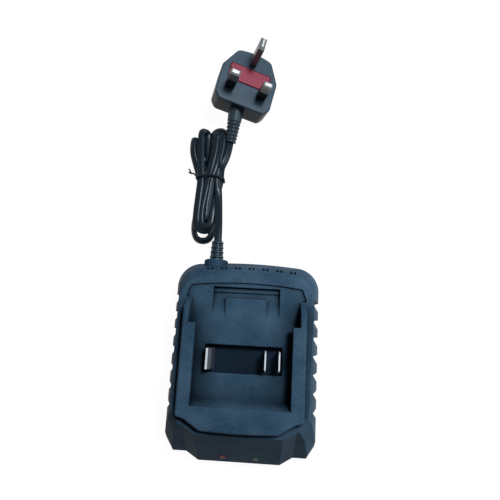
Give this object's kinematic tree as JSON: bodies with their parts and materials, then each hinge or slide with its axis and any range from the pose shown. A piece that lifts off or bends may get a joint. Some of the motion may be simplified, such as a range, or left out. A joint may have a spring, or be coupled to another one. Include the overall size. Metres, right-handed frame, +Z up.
{
  "type": "power tool battery charger",
  "caption": "Desktop charger for slide-on tool battery packs: grooved case with raised rails, contact window, lamps, tied mains lead and fused plug.",
  "frame": {"origin": "on the table, under the middle of the charger's case (the cord and plug left out)", "axes": "+X to the right, +Y to the rear where the cord leaves, +Z up"},
  "size_m": [0.0917, 0.2672, 0.0463],
  "materials": {
    "case_plastic": "fine spark-eroded grain",
    "base_plastic": "fine grain",
    "foot_rubber": "matt",
    "screw_steel": "zinc plated",
    "board_laminate": "solder mask",
    "block_plastic": "moulded",
    "terminal_metal": "nickel plated",
    "lens_red": "clear tinted",
    "lens_green": "clear tinted",
    "ferrite": "sintered",
    "winding": "taped winding",
    "capacitor_sleeve": "shrink sleeve",
    "choke_winding": "enamelled wire",
    "film_capacitor": "resin case",
    "component_black": "epoxy",
    "sink_aluminium": "extruded",
    "cord_jacket": "glossy vinyl",
    "tail_insulation": "vinyl",
    "plug_plastic": "satin moulding",
    "pin_nickel": "nickel plated",
    "sleeve_plastic": "moulded",
    "carrier_plastic": "moulded",
    "fuse_ceramic": "glazed",
    "clip_brass": "spring brass",
    "tie_plastic": "coated wire"
  },
  "bodies": {
    "charger": {"top_cover": "case_plastic", "battery_frame": "case_plastic", "base_cover": "base_plastic", "rubber_feet": "foot_rubber", "case_screws": "screw_steel", "circuit_board": "board_laminate", "board_screws": "screw_steel", "terminal_block": "block_plastic", "terminal_negative": "terminal_metal", "terminal_signal": "terminal_metal", "terminal_positive": "terminal_metal", "lamp_red": "lens_red", "lamp_green": "lens_green", "transformer_core": "ferrite", "transformer_coil": "winding", "mains_capacitor": "capacitor_sleeve", "output_capacitors": "capacitor_sleeve", "common_mode_choke": "choke_winding", "bridge_rectifier": "component_black", "safety_capacitor": "film_capacitor", "board_fuse": "component_black", "heat_sink": "sink_aluminium", "power_transistor": "component_black", "output_diode": "component_black", "control_chip": "component_black", "optocoupler": "component_black", "strain_relief": "cord_jacket", "cord_inside": "cord_jacket", "cord_clamp": "block_plastic", "clamp_screws": "screw_steel", "mains_tails": "tail_insulation", "cord_lead": "cord_jacket", "cord_hank": "cord_jacket", "cord_plug_lead": "cord_jacket", "wire_tie": "tie_plastic", "plug_body": "plug_plastic", "plug_boot": "cord_jacket", "plug_pin_live": "pin_nickel", "plug_pin_neutral": "pin_nickel", "plug_pin_earth": "pin_nickel", "pin_sleeves": "sleeve_plastic", "fuse_clips": "clip_brass"},
    "carrier": {"fuse_carrier": "carrier_plastic", "plug_fuse": "fuse_ceramic"}
  },
  "joints": [
    {"name": "fuse_carrier_pull", "type": "slide", "parent": "charger", "child": "carrier", "axis": [0.2852, -0.1258, 0.9502], "range_m": [0, 0.012]}
  ]
}
